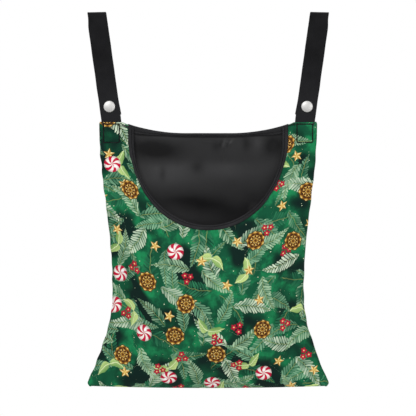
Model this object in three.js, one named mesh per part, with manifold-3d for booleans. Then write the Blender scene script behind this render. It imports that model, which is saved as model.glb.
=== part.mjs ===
// A hanging peg bag: a lined cloth pocket with a scooped mouth, and two webbing
// straps that loop over a line and close with press studs.
// Millimetres. +Z is up, +X to the right as seen from the front, -Y towards the viewer.
// The origin is on the axis of the line, midway between the two strap loops.
import * as THREE from "three";
import { mergeVertices } from "three/addons/utils/BufferGeometryUtils.js";
import Module from "manifold-3d";

const wasm = await Module();
wasm.setup();

// The pocket
const topWidth = 272; // across the shoulders
const waistWidth = 239; // where the full pocket draws its sides in
const bottomWidth = 301; // along the bottom seam, corner to corner
const pocketHeight = 332; // shoulder edge to bottom seam
const backDip = 14.4; // how far the back's top edge sags between the shoulders
const dipFlatHalf = 38; // half width over which it has sagged fully
const bottomSag = 1.2;
const frontDepth = 48; // how far the front swells from the seam plane
const backDepth = 28;
const backBow = 6; // how far the back's free top edge stands off the seam plane
const waistShare = 0.62; // share of the height at which the waist is reached
const flareStartShare = 0.68; // where the sides turn out again
const flareEndShare = 0.985; // where the corner is reached
const flarePower = 1.5;
const crossPower = 1.1; // how round the pocket is from side to side
const frontPeakPower = 1.7; // larger puts the fullest place lower
const backPeakPower = 1.45;
const fullnessPower = 0.9;
const bowPower = 3; // how soon the back's bow dies out below its edge
const acrossSteps = 18;
const downSteps = 18;

// The cloth and the webbing
const outerCloth = 0.8;
const liningCloth = 0.6;
const bindingCloth = 0.6;
const webThickness = 1.8;
const webWidth = 25;
const thread = 0.8;
const fitGap = 0.3; // between pieces that touch
const overrun = 12; // how far a cutter runs past what it cuts
const shaving = 0.05; // taken off a face so that two cutters don't share it
const weldWithin = 0.0001; // vertices this close are one

// The mouth and the back's bound edge
const mouthMargin = 8.1; // from a strap's inner edge to the outside of the binding
const mouthDepth = 136; // shoulder edge to the lowest point, outside the binding
const mouthStraight = 23; // upright part of its sides, below the shoulder edge
const mouthBinding = 7.5; // visible width of the binding
const rimBinding = 8.5;
const mouthCurveSteps = 14;

// The straps
const strapInset = 2.9; // from the bag's side to a strap's outer edge
const strapRise = 132; // shoulder edge to the line's axis
const strapLean = THREE.MathUtils.degToRad(8); // outwards, going up
const lineRadius = 4; // of the line that the loops take
const sewnLength = 27; // of webbing held in the shoulder
const bendLength = 10; // of webbing that flexes above the shoulder
const tailPastSnap = 10.6; // from the press stud to the tail's free end
const tailFlat = 5; // above the press stud, before the tail leaves the leg
const crownSteps = 11; // odd, so that one facet faces straight down
const tailSteps = 12;

// The box stitch that holds a strap's sewn end
const boxSideMargin = 2.75; // from the webbing's edge
const boxTopMargin = 2.6; // below the shoulder edge
const boxEndMargin = 1.4; // from the webbing's end

// The press studs
const snapMargin = 2; // between the cap and the webbing that flexes
const capRadius = 7.25;
const capRim = 1; // height of the cap's upright rim
const capDome = 1.4; // rise of the cap above its rim
const capBevel = 0.3;
const shankRadius = 1.5;
const socketRadius = 5.25;
const socketHeight = 2.6;
const socketBase = 0.7;
const bulbRadius = 2.3;
const bulbWaist = 0.35; // how much narrower the neck behind the bulb is
const studPlate = 0.8;
const studRadius = 5;
const postRadius = 5.25;
const postDisc = 1;
const postDimple = 0.35;
const postShank = 1.2;
const studWall = 0.65; // of the bulb's tip
const bevel = 0.6; // of the small metal edges
const roundSteps = 20;
const capDomeSteps = 4;

// Worked out from the sizes above
const strapMiddle = topWidth / 2 - strapInset - webWidth / 2;
const strapInnerEdge = strapMiddle - webWidth / 2;
const mouthHalf = strapInnerEdge - mouthMargin;
const openTopHalf = mouthHalf + mouthMargin / 2; // the top edges aren't sewn together within this
const halfWeb = webThickness / 2;
const innerHalf = Math.max(halfWeb, bindingCloth + fitGap / 2) + fitGap;
const liningOuter = outerCloth + fitGap; // the lining's insets from the pocket's outer face
const liningInner = liningOuter + liningCloth;
const edgeHalf = innerHalf + liningInner; // seam plane to outer face, at the edges
const bindingOut = fitGap + bindingCloth; // how far a binding stands off the cloth
const bindingIn = liningInner + bindingOut;
const slotIn = liningInner + fitGap;
const crownRadius = lineRadius + halfWeb; // of the webbing's middle round the line
const seamY = -crownRadius; // plane of the seams and of the straps' front legs
const shoulderZ = -strapRise;
const bottomZ = shoulderZ - pocketHeight;
const crownRise = strapRise / Math.cos(strapLean); // along the strap
const snapRise = bendLength + fitGap + snapMargin + capRadius;
const boxWidth = webWidth - 2 * boxSideMargin;
const boxHeight = sewnLength - boxTopMargin - boxEndMargin;
// Offsets behind the front leg's middle, through the closed press stud
const capBack = -halfWeb - fitGap;
const socketFront = halfWeb + fitGap;
const socketFloor = socketFront + socketBase;
const socketBack = socketFront + socketHeight;
const studTip = socketFloor + fitGap;
const studFront = socketBack + fitGap;
const studBack = studFront + studPlate;
const tailMiddle = studBack + fitGap + halfWeb;
const postFront = tailMiddle + halfWeb + fitGap;

const FRONT = -1;
const BACK = 1;
const LEFT = -1;
const RIGHT = 1;
const { clamp, lerp, smoothstep } = THREE.MathUtils;

const material = (color, roughness, metalness) =>
  new THREE.MeshStandardMaterial({ color, roughness, metalness });
const printCloth = material(0x1d6b45, 0.85, 0);
const blackCloth = material(0x2b2b2c, 0.8, 0);
const bindingTape = material(0x363536, 0.85, 0);
const webbing = material(0x1f1f20, 0.75, 0);
const nickel = material(0xd8d8d6, 0.3, 1);
const sewingThread = material(0x141414, 0.7, 0);

const part = new THREE.Group();

function place(name, shape, stuff, group = part) {
  const mesh = new THREE.Mesh(shape.isBufferGeometry ? shape : geometryOf(shape), stuff);
  mesh.name = name;
  group.add(mesh);
  return mesh;
}

function solidOf(geometry) {
  geometry.deleteAttribute("normal");
  geometry.deleteAttribute("uv");
  const merged = mergeVertices(geometry, weldWithin);
  return new wasm.Manifold(
    new wasm.Mesh({
      numProp: 3,
      vertProperties: merged.attributes.position.array,
      triVerts: new Uint32Array(merged.index.array),
    }),
  );
}

function geometryOf(solid) {
  const mesh = solid.getMesh();
  const geometry = new THREE.BufferGeometry();
  geometry.setAttribute("position", new THREE.BufferAttribute(mesh.vertProperties, 3));
  geometry.setIndex(new THREE.BufferAttribute(mesh.triVerts, 1));
  return geometry;
}

const union = (solids) => solids.reduce((all, solid) => all.add(solid));

function boxSolid([x0, x1], [y0, y1], [z0, z1]) {
  const geometry = new THREE.BoxGeometry(x1 - x0, y1 - y0, z1 - z0);
  geometry.translate((x0 + x1) / 2, (y0 + y1) / 2, (z0 + z1) / 2);
  return solidOf(geometry);
}

const around = (middle, half) => [middle - half, middle + half];

// A prism along Y whose outline is drawn in X and Z
function prismAlongY(shape, [y0, y1]) {
  const geometry = new THREE.ExtrudeGeometry(shape, {
    depth: y1 - y0,
    bevelEnabled: false,
    curveSegments: mouthCurveSteps,
  });
  geometry.rotateX(Math.PI / 2);
  geometry.translate(0, y1, 0);
  return solidOf(geometry);
}

// The pocket's form: u runs from -1 to 1 across it, v from 0 at the top edge to 1 at the bottom.

function halfWidth(v) {
  const waist = waistWidth / 2;
  if (v < waistShare) {
    const ease = (1 + Math.cos((Math.PI * v) / waistShare)) / 2;
    return lerp(waist, topWidth / 2, ease);
  }
  const along = clamp((v - flareStartShare) / (flareEndShare - flareStartShare), 0, 1);
  return lerp(waist, bottomWidth / 2, along ** flarePower);
}

function topDip(x) {
  const along = clamp((strapInnerEdge - Math.abs(x)) / (strapInnerEdge - dipFlatHalf), 0, 1);
  return backDip * Math.sin((Math.PI / 2) * along);
}

function swell(side, u, v) {
  const [fullness, peakPower] =
    side === FRONT ? [frontDepth, frontPeakPower] : [backDepth, backPeakPower];
  const across = Math.max(0, 1 - u * u) ** crossPower;
  const down = Math.max(0, Math.sin(Math.PI * v ** peakPower)) ** fullnessPower;
  const openShare = Math.min(1, (Math.abs(u) * topWidth) / 2 / openTopHalf);
  const bow = side === BACK ? backBow * Math.cos((Math.PI / 2) * openShare) ** 2 : 0;
  return fullness * across * down + bow * (1 - v) ** bowPower;
}

// Half width and depth at a height, straight between rows so that all insets share facets
function formAt(side, u, v) {
  const row = clamp(Math.floor(v * downSteps), 0, downSteps - 1);
  const along = clamp(v * downSteps - row, 0, 1);
  const between = (value) => lerp(value(row / downSteps), value((row + 1) / downSteps), along);
  return { half: between(halfWidth), depth: between((share) => swell(side, u, share)) };
}

// The space between the seam plane and the pocket's face, taken in by inset all round.
// Nesting these gives every layer of cloth and what is folded or sewn over it.
function clothHalf(side, inset, { base = -overrun, topInset = inset } = {}) {
  const levels = [];
  for (let j = topInset < 0 ? 0 : 1; j < downSteps; j++) levels.push(j / downSteps);
  const columns = acrossSteps + 1;
  const rows = levels.length + 2;
  const lastRow = rows - 1;
  const positions = [];
  const triangles = [];
  for (const onFace of [true, false]) {
    for (let j = 0; j < rows; j++) {
      for (let i = 0; i < columns; i++) {
        const u = (2 * i) / acrossSteps - 1;
        const top = shoulderZ - topDip((u * topWidth) / 2);
        const bottom = bottomZ - bottomSag * (1 - u * u);
        const first = topInset / (top - bottom);
        const last = 1 - inset / (top - bottom);
        const v = j === 0 ? first : j === lastRow ? last : levels[j - 1];
        const { half, depth } = formAt(side, u, v);
        const height = onFace ? edgeHalf - inset + depth : base;
        positions.push(u * (half - inset), seamY + side * height, lerp(top, bottom, v));
      }
    }
  }
  const at = (onFace, j, i) => ((onFace ? 0 : rows) + j) * columns + i;
  const quad = (a, b, c, d) => {
    if (side === FRONT) triangles.push(a, b, c, a, c, d);
    else triangles.push(a, c, b, a, d, c);
  };
  for (let j = 0; j < lastRow; j++) {
    for (let i = 0; i < acrossSteps; i++) {
      quad(at(true, j, i), at(true, j + 1, i), at(true, j + 1, i + 1), at(true, j, i + 1));
      quad(at(false, j, i), at(false, j, i + 1), at(false, j + 1, i + 1), at(false, j + 1, i));
    }
    const i = acrossSteps;
    quad(at(true, j, 0), at(false, j, 0), at(false, j + 1, 0), at(true, j + 1, 0));
    quad(at(true, j, i), at(true, j + 1, i), at(false, j + 1, i), at(false, j, i));
  }
  for (let i = 0; i < acrossSteps; i++) {
    const j = lastRow;
    quad(at(true, 0, i), at(true, 0, i + 1), at(false, 0, i + 1), at(false, 0, i));
    quad(at(true, j, i), at(false, j, i), at(false, j, i + 1), at(true, j, i + 1));
  }
  const geometry = new THREE.BufferGeometry();
  geometry.setAttribute("position", new THREE.Float32BufferAttribute(positions, 3));
  geometry.setIndex(triangles);
  return solidOf(geometry);
}

const pocketReach = Math.max(frontDepth, backDepth) + backBow + edgeHalf + overrun;

// Everything inside the mouth's edge moved out by grow, as a prism through the front
function mouthPrism(grow) {
  const half = mouthHalf - mouthBinding + grow;
  const drop = mouthDepth - mouthStraight - mouthBinding + grow;
  const middle = shoulderZ - mouthStraight;
  const shape = new THREE.Shape();
  shape.moveTo(half, shoulderZ + overrun);
  shape.lineTo(-half, shoulderZ + overrun);
  shape.lineTo(-half, middle);
  shape.absellipse(0, middle, half, drop, Math.PI, 2 * Math.PI, false, 0);
  shape.closePath();
  return prismAlongY(shape, [seamY - pocketReach, seamY + overrun]);
}

const openTop = boxSolid(
  around(0, openTopHalf),
  around(seamY, pocketReach),
  [shoulderZ - backDip - overrun, shoulderZ + overrun],
);

// A layer of cloth between two insets: its sides, bottom and shoulders are turned in to
// the seam plane, and its top edge is open where the mouth is.
function layer(side, outerInset, innerInset) {
  const inside = clothHalf(side, innerInset);
  const openInside = clothHalf(side, innerInset - shaving, { topInset: -overrun }).intersect(openTop);
  return clothHalf(side, outerInset, { base: fitGap / 2 }).subtract(inside).subtract(openInside);
}

// A shell without turned edges, for what is folded or sewn over the cloth
function wrap(side, outerInset, innerInset, topInset) {
  const outside = clothHalf(side, outerInset, { topInset });
  return outside.subtract(clothHalf(side, innerInset, { topInset: -overrun }));
}

// What passes through a shoulder: the strap's sewn end and the corners of its box stitch

function strapSlot(hand) {
  return boxSolid(
    around(hand * strapMiddle, webWidth / 2 + fitGap),
    around(seamY, innerHalf),
    [shoulderZ - sewnLength - fitGap, shoulderZ + overrun],
  );
}

function stitchPosts(hand, half) {
  const posts = [];
  for (const x of around(hand * strapMiddle, boxWidth / 2)) {
    for (const z of around(shoulderZ - boxTopMargin - boxHeight / 2, boxHeight / 2)) {
      posts.push(boxSolid(around(x, half), around(seamY, edgeHalf + overrun), around(z, half)));
    }
  }
  return union(posts);
}

const stitchHoles = (hand) => stitchPosts(hand, thread / 2 + fitGap);

function panel(side, outerInset, innerInset) {
  const cuts = [LEFT, RIGHT].flatMap((hand) => [strapSlot(hand), stitchHoles(hand)]);
  if (side === FRONT) cuts.push(mouthPrism(bindingCloth + fitGap));
  return layer(side, outerInset, innerInset).subtract(union(cuts));
}

place("front_panel", panel(FRONT, 0, outerCloth), printCloth);
place("front_lining", panel(FRONT, liningOuter, liningInner), blackCloth);
place("back_panel", panel(BACK, 0, outerCloth), printCloth);
place("back_lining", panel(BACK, liningOuter, liningInner), blackCloth);

// Tape folded over the mouth's edge
function mouthTape() {
  const band = mouthPrism(mouthBinding).subtract(mouthPrism(0));
  const slot = wrap(FRONT, -fitGap, slotIn, -overrun).subtract(mouthPrism(bindingCloth));
  return wrap(FRONT, -bindingOut, bindingIn, 0).intersect(band).subtract(slot);
}

// Tape folded over the back's top edge, as long as the mouth is wide
function rimTape() {
  const outline = [new THREE.Vector2(mouthHalf, shoulderZ + overrun)];
  outline.push(new THREE.Vector2(-mouthHalf, shoulderZ + overrun));
  for (let i = 0; i <= acrossSteps; i++) {
    const x = lerp(-mouthHalf, mouthHalf, i / acrossSteps);
    outline.push(new THREE.Vector2(x, shoulderZ - topDip(x) - rimBinding));
  }
  const band = prismAlongY(new THREE.Shape(outline), [seamY - overrun, seamY + pocketReach]);
  const slot = wrap(BACK, -fitGap, slotIn, -fitGap);
  return wrap(BACK, -bindingOut, bindingIn, -bindingOut).intersect(band).subtract(slot);
}

place("mouth_binding", mouthTape(), bindingTape);
place("rim_binding", rimTape(), bindingTape);

// A box stitch's thread: a frame on each face, joined through the layers at its corners
function boxStitch(hand) {
  const middle = shoulderZ - boxTopMargin - boxHeight / 2;
  const frame = (grow) =>
    boxSolid(
      around(hand * strapMiddle, boxWidth / 2 + grow),
      around(seamY, pocketReach),
      around(middle, boxHeight / 2 + grow),
    );
  const ring = frame(thread / 2).subtract(frame(-thread / 2));
  const outside = -fitGap - thread;
  const rows = [FRONT, BACK].map((side) => wrap(side, outside, -fitGap, outside).intersect(ring));
  const within = [FRONT, BACK].map((side) => clothHalf(side, outside, { base: -thread }));
  return union([...rows, stitchPosts(hand, thread / 2).intersect(union(within))]);
}

function sewnEnd(hand) {
  const webSolid = boxSolid(
    around(hand * strapMiddle, webWidth / 2),
    around(seamY, halfWeb),
    [shoulderZ - sewnLength, shoulderZ - fitGap / 2],
  );
  return webSolid.subtract(stitchHoles(hand));
}

// The webbing that flexes where a strap leaves the shoulder: level below, leaning above
function strapBend(hand) {
  const base = new THREE.Vector2(hand * strapMiddle, shoulderZ);
  const along = new THREE.Vector2(hand * Math.sin(strapLean), Math.cos(strapLean));
  const across = new THREE.Vector2(along.y, -along.x);
  const middle = base.clone().addScaledVector(along, bendLength);
  const half = webWidth / 2;
  const outline = new THREE.Shape([
    new THREE.Vector2(base.x - half, shoulderZ + fitGap / 2),
    new THREE.Vector2(base.x + half, shoulderZ + fitGap / 2),
    middle.clone().addScaledVector(across, half),
    middle.clone().addScaledVector(across, -half),
  ]);
  return prismAlongY(outline, around(seamY, halfWeb));
}

// A length of webbing as wide as the strap, from its outline seen from the side: offsets
// behind the front leg, then distances up the strap.
function webbingAlong(points) {
  const outline = new THREE.Shape(points.map(([offset, rise]) => new THREE.Vector2(offset, rise)));
  const geometry = new THREE.ExtrudeGeometry(outline, { depth: webWidth, bevelEnabled: false });
  const turned = new THREE.Matrix4().makeBasis(
    new THREE.Vector3(0, 1, 0),
    new THREE.Vector3(0, 0, 1),
    new THREE.Vector3(1, 0, 0),
  );
  geometry.applyMatrix4(turned);
  geometry.translate(-webWidth / 2, 0, 0);
  return solidOf(geometry);
}

function snapHole(radius) {
  const geometry = new THREE.CylinderGeometry(radius, radius, 2 * (tailMiddle + overrun), roundSteps);
  geometry.translate(0, 0, snapRise);
  return solidOf(geometry);
}

// The leg from above the bend, up and half round the line
function strapLoop() {
  const low = bendLength + fitGap;
  const arc = (radius) => {
    const points = [];
    for (let i = 0; i <= crownSteps; i++) {
      const angle = (Math.PI * i) / crownSteps;
      const offset = crownRadius - radius * Math.cos(angle);
      points.push([offset, crownRise + radius * Math.sin(angle)]);
    }
    return points;
  };
  const outside = arc(crownRadius + halfWeb);
  const inside = arc(crownRadius - halfWeb).reverse();
  const leg = webbingAlong([[-halfWeb, low], ...outside, ...inside, [halfWeb, low]]);
  return leg.subtract(snapHole(shankRadius + fitGap));
}

// The free tail behind the leg, from the end of the loop down past the press stud
function strapTail() {
  const flatTo = snapRise + postRadius + tailFlat;
  const near = [];
  const far = [];
  for (let i = 0; i <= tailSteps; i++) {
    const rise = lerp(snapRise - tailPastSnap, crownRise - fitGap, i / tailSteps);
    const middle = lerp(tailMiddle, 2 * crownRadius, smoothstep(rise, flatTo, crownRise));
    near.push([middle - halfWeb, rise]);
    far.unshift([middle + halfWeb, rise]);
  }
  return webbingAlong([...near, ...far]).subtract(snapHole(postShank + fitGap));
}

// The press stud's pieces, as radii and offsets along the axis through the webbing

function capProfile() {
  const rim = capBack - capRim;
  const profile = [];
  for (let i = 0; i <= capDomeSteps; i++) {
    const angle = ((i / capDomeSteps) * Math.PI) / 2;
    profile.push([capRadius * Math.sin(angle), rim - capDome * Math.cos(angle)]);
  }
  profile[0][0] = 0;
  profile.push([capRadius - capBevel, capBack], [shankRadius, capBack]);
  profile.push([shankRadius, socketFloor - fitGap], [0, socketFloor - fitGap]);
  return profile;
}

const socketProfile = () => [
  [shankRadius + fitGap, socketFront],
  [socketRadius, socketFront],
  [socketRadius, socketBack - bevel],
  [socketRadius - bevel, socketBack],
  [bulbRadius + fitGap, socketBack],
  [bulbRadius + fitGap, socketFloor],
  [shankRadius + fitGap, socketFloor],
  [shankRadius + fitGap, socketFront],
];

const studProfile = () => [
  [0, studTip],
  [bulbRadius - bevel, studTip],
  [bulbRadius, studTip + bevel],
  [bulbRadius, studFront - bevel],
  [bulbRadius - bulbWaist, studFront],
  [studRadius, studFront],
  [studRadius, studBack],
  [postShank + fitGap, studBack],
  [postShank + fitGap, studTip + studWall],
  [0, studTip + studWall],
];

const postProfile = () => [
  [0, studTip + studWall + fitGap],
  [postShank, studTip + studWall + fitGap],
  [postShank, postFront],
  [postRadius, postFront],
  [postRadius, postFront + postDisc - bevel],
  [postRadius - bevel, postFront + postDisc],
  [bulbRadius, postFront + postDisc],
  [bulbRadius - postDimple, postFront + postDisc - postDimple],
  [0, postFront + postDisc - postDimple],
];

function turned(profile) {
  const points = profile.map(([radius, offset]) => new THREE.Vector2(radius, offset));
  return new THREE.LatheGeometry(points, roundSteps);
}

// Each strap is a group that stands on its shoulder and leans outwards.
for (const [side, hand] of [["left", LEFT], ["right", RIGHT]]) {
  place(`${side}_strap_sewn_end`, sewnEnd(hand), webbing);
  place(`${side}_box_stitch`, boxStitch(hand), sewingThread);
  place(`${side}_strap_bend`, strapBend(hand), webbing);

  const strap = new THREE.Group();
  strap.position.set(hand * strapMiddle, seamY, shoulderZ);
  strap.rotation.y = hand * strapLean;
  part.add(strap);
  place(`${side}_strap_loop`, strapLoop(), webbing, strap);
  place(`${side}_strap_tail`, strapTail(), webbing, strap);
  place(`${side}_snap_cap`, turned(capProfile()), nickel, strap).position.z = snapRise;
  place(`${side}_snap_socket`, turned(socketProfile()), nickel, strap).position.z = snapRise;
  place(`${side}_snap_stud`, turned(studProfile()), nickel, strap).position.z = snapRise;
  place(`${side}_snap_post`, turned(postProfile()), nickel, strap).position.z = snapRise;
}

export default part;
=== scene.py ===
import math

import bmesh
import bpy
import numpy as np
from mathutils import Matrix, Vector


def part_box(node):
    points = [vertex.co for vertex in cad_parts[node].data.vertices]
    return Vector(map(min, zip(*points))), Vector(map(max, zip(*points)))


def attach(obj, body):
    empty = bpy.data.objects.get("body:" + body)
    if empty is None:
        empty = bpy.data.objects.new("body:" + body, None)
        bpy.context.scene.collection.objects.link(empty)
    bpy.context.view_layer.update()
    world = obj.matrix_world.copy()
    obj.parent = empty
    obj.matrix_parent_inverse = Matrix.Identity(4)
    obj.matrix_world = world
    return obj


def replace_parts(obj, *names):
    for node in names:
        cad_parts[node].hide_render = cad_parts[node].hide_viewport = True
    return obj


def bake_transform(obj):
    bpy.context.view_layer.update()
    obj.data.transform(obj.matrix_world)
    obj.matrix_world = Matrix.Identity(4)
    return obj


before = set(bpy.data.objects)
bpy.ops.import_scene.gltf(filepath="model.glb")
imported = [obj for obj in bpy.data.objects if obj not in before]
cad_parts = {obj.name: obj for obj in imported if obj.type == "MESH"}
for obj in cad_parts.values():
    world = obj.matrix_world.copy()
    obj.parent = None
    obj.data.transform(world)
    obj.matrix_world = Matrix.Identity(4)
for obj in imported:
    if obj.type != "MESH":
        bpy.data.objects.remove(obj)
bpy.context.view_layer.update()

mm = 0.001
sides = {"left": -1, "right": 1}
front, back = -1, 1
scene = bpy.context.scene
scene.view_settings.view_transform = "Standard"


# Helpers for nodes and meshes

def fromHex(code):
    channels = [int(code[i:i + 2], 16) / 255 for i in (1, 3, 5)]
    return [c / 12.92 if c <= 0.04045 else ((c + 0.055) / 1.055) ** 2.4 for c in channels] + [1.0]


mainSettings = {
    "Math": "operation", "VectorMath": "operation", "MapRange": "interpolation_type", "Mix": "data_type",
    "TexNoise": "noise_dimensions", "TexVoronoi": "voronoi_dimensions", "TexWhiteNoise": "noise_dimensions",
    "VectorRotate": "rotation_type", "TexWave": "bands_direction",
}


# Clears a world's or material's nodes, or takes a bare node group, and gives the function that adds
# a node to it: the kind, which its main setting may follow, then inputs in order or by their names
def startTree(owner):
    tree = owner
    if hasattr(owner, "use_nodes"):
        owner.use_nodes = True
        tree = owner.node_tree
        tree.nodes.clear()

    def add(kind, *inputs, **settings):
        kind, *mode = kind.split()
        node = tree.nodes.new(kind if "Node" in kind else "ShaderNode" + kind)
        if mode:
            settings[mainSettings[kind]] = mode[0]
        for name, value in settings.items():
            setattr(node, name, value)
        if inputs and isinstance(inputs[0], dict):
            pairs = [(node.inputs[name], value) for name, value in inputs[0].items()]
        else:
            pairs = zip([socket for socket in node.inputs if socket.enabled], inputs)
        for socket, value in pairs:
            if isinstance(value, str) and value.startswith("#"):
                value = fromHex(value)
            if isinstance(value, bpy.types.Node):
                value = next(output for output in value.outputs if output.enabled)
            if isinstance(value, bpy.types.NodeSocket):
                tree.links.new(value, socket)
            else:
                socket.default_value = value
        return node

    return add


def gridFaces(rows, columns, closed=False):
    i, j = np.meshgrid(np.arange(rows - 1), np.arange(columns if closed else columns - 1), indexing="ij")
    here, after = i * columns + j, i * columns + (j + 1) % columns
    return np.stack([here, after, after + columns, here + columns], -1).reshape(-1, 4).tolist()


def tubeFaces(rows, columns):
    ends = [list(range(columns)), list(range((rows - 1) * columns, rows * columns))]
    return gridFaces(rows, columns, closed=True) + ends


def editMesh(mesh, edit):
    shell = bmesh.new()
    shell.from_mesh(mesh)
    edit(shell)
    shell.to_mesh(mesh)
    shell.free()


# A mesh piece whose flat says where each point lay on the flat cloth, in metres
def meshPiece(name, points, faces, material, flat=None, sharpAngle=None, closed=False):
    mesh = bpy.data.meshes.new(name)
    mesh.from_pydata(np.asarray(points, float).reshape(-1, 3).tolist(), [], faces)
    if closed:  # all its faces are turned outward
        editMesh(mesh, lambda shell: bmesh.ops.recalc_face_normals(shell, faces=shell.faces))
    mesh.polygons.foreach_set("use_smooth", [True] * len(mesh.polygons))
    if sharpAngle:
        mesh.set_sharp_from_angle(angle=sharpAngle)
    if flat is not None:
        corners = np.zeros(len(mesh.loops), int)
        mesh.loops.foreach_get("vertex_index", corners)
        layer = mesh.uv_layers.new(name="cloth")
        layer.data.foreach_set("uv", np.asarray(flat, float).reshape(-1, 2)[corners].ravel())
    mesh.materials.append(material)
    mesh.update()
    piece = bpy.data.objects.new(name, mesh)
    scene.collection.objects.link(piece)
    return piece


def settle(piece, body, slot, node):
    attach(piece, body)
    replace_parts(piece, node)


# Smooth unevenness along a line: a few waves near one length, always the same for a seed
def ripple(along, wavelength, seed):
    random = np.random.default_rng(seed)
    total = 0
    for _ in range(5):
        stretch, phase, share = random.uniform((0.6, 0, 0.5), (1.7, math.tau, 1))
        total = total + share * np.sin(math.tau * along / (wavelength * stretch) + phase)
    return total / 3


def smooth(value, low, high):
    share = np.clip((value - low) / (high - low), 0, 1)
    return share * share * (3 - 2 * share)


def unit(vectors):
    return vectors / np.maximum(np.linalg.norm(vectors, axis=-1, keepdims=True), 1e-12)


# How far along its line each point lies
def runAlong(points):
    run = np.linalg.norm(np.diff(points, axis=0), axis=-1).cumsum(0)
    return np.concatenate([np.zeros_like(run[:1]), run])


# Steps between places, with their own count from each place to the next
def unevenSteps(places, counts):
    last = len(counts) - 1
    spans = zip(places, places[1:], counts)
    return np.concatenate([np.linspace(*span, endpoint=k == last) for k, span in enumerate(spans)])


# Camera, light and floor

view = {
    "distance": 3.4,
    "frameWidth": 0.520,  # 416 pixels of 1.25 mm, in the plane of the seams
    "middle": (-0.0002, -0.2392),  # x and z at the frame's centre
}
light = {
    "ambient": 0.28,
    "lamps": {  # x, y, z, width in metres, watts
        "key": (-0.8, -1.7, 1.0, 0.9, 32), "fill": (1.9, -1.9, 0.0, 1.6, 27),
        "top": (0.1, 0.3, 1.5, 1.2, 5), "back": (-0.6, 1.9, 0.4, 1.6, 14),
    },
}


def makeStudio():
    x, z = view["middle"]
    camera = bpy.data.objects.new("camera", bpy.data.cameras.new("camera"))
    camera.data.sensor_width = 36
    camera.data.lens = camera.data.sensor_width * view["distance"] / view["frameWidth"]
    camera.location = (x, -view["distance"], z)
    camera.rotation_euler = (math.pi / 2, 0, 0)
    scene.collection.objects.link(camera)
    scene.camera = camera

    for name, (*place, size, watts) in light["lamps"].items():
        lamp = bpy.data.objects.new(name, bpy.data.lights.new(name, "AREA"))
        lamp.data.shape = "DISK"
        lamp.data.size = size
        lamp.data.energy = watts
        lamp.location = place
        aim = Vector((0, 0, z)) - Vector(place)
        lamp.rotation_euler = aim.to_track_quat("-Z", "Y").to_euler()
        scene.collection.objects.link(lamp)

    # The world is white where it is seen, also in metal, and a plain fill light otherwise
    scene.world = bpy.data.worlds.new("studio")
    add = startTree(scene.world)
    path = add("LightPath")
    seen = add("Math ADD", path.outputs["Is Camera Ray"], path.outputs["Is Glossy Ray"])
    seen = add("Math ADD", seen, path.outputs["Is Transmission Ray"], use_clamp=True)
    add("OutputWorld", add("Background", "#ffffff", add("MapRange", seen, 0, 1, light["ambient"], 1)))


floorShape = {"height": -0.66, "radius": 0.95, "solidShare": 0.35, "clearShare": 0.98, "steps": 96}


def makeFloor():
    # Painted board, matt and pale: it takes the shadow and fades out at its rim
    radius, steps = floorShape["radius"], floorShape["steps"]
    material = bpy.data.materials.new("paintedBoard")
    add = startTree(material)
    level = add("VectorMath MULTIPLY", add("TexCoord").outputs["Object"], (1, 1, 0))
    away = add("VectorMath LENGTH", level)
    fade = add("MapRange SMOOTHSTEP", away, radius * floorShape["solidShare"],
               radius * floorShape["clearShare"], 0, 1)
    both = add("MixShader", fade, add("BsdfDiffuse", "#f4f4f2"), add("BsdfTransparent"))
    add("OutputMaterial", both)
    angles = [math.tau * k / steps for k in range(steps)]
    rim = [(radius * math.cos(angle), radius * math.sin(angle), floorShape["height"]) for angle in angles]
    meshPiece("floor", rim, [list(range(steps))], material)


makeStudio()
makeFloor()
print("studio made")


# The generic print: ferns, leaves, rosettes, sweets, stars and blossoms on mottled green

printDesign = {
    "ground": "#0f5035", "groundLight": "#1c8350", "groundDark": "#07201b",
    "mottle": 55, "cloud": 24,  # millimetres between dark patches, and between the finer clouds
    "brush": 9, "brushShift": 3.2,  # how a brush's hand bends the motifs
    "ferns": [  # cell, turn, shift, half length, reach, leaflet spacing, bend, deep, pale
        (64, 0.4, 13, 25, 14, 3.9, 16, "#0d3f2d", "#2d7752"),
        (66, 2.2, 91, 26, 13, 4.1, 18, "#1c5b40", "#7aa886"),
        (58, 2.9, 35, 23, 11, 3.5, -10, "#185a3d", "#84b38f"),
        (68, 0.9, 149, 26, 13, 3.9, 15, "#2a6b4c", "#cddcc2"),
        (62, 1.8, 203, 24, 12, 3.6, -17, "#1c5d41", "#a3c3a0"),
    ],
    "fernJitter": 0.28,
    "accents": [  # cell, turn, shift, whether bent, and motifs: name, size, the places it takes
        (72, 0.7, 71, True, (("leafPair", 18, "LESS_THAN", 0.75),)),
        (41, 2.6, 47, False, (("star", 7.4, "LESS_THAN", 0.34), ("blossoms", 4.2, "GREATER_THAN", 0.6))),
        (54, 1.9, 23, False, (("rosette", 12.5, "LESS_THAN", 0.36), ("sweet", 10, "GREATER_THAN", 0.62))),
    ],
    "accentJitter": 0.5,
    "speckCell": 8, "speck": 0.75,
}


# Scatters motifs: the place on the cloth measured from the nearest motif, turned, and random shares
def scatter(add, where, cell, turn, shift, jitter):
    placed = add("Mapping", where, (shift, shift * 0.7, 0), (0, 0, turn))
    cells = add("TexVoronoi 2D", {"Vector": placed, "Scale": 1 / cell, "Randomness": jitter})
    away = add("VectorMath SUBTRACT", placed, cells.outputs["Position"])
    random = add("SeparateColor", cells.outputs["Color"])
    angle = add("Math MULTIPLY", random.outputs[0], math.tau)
    local = add("VectorRotate Z_AXIS", {"Vector": away, "Angle": angle})
    return local, random


def roundPlace(add, local):
    spot = add("SeparateXYZ", local)
    return add("VectorMath LENGTH", local), add("Math ARCTAN2", spot.outputs[1], spot.outputs[0])


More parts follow.
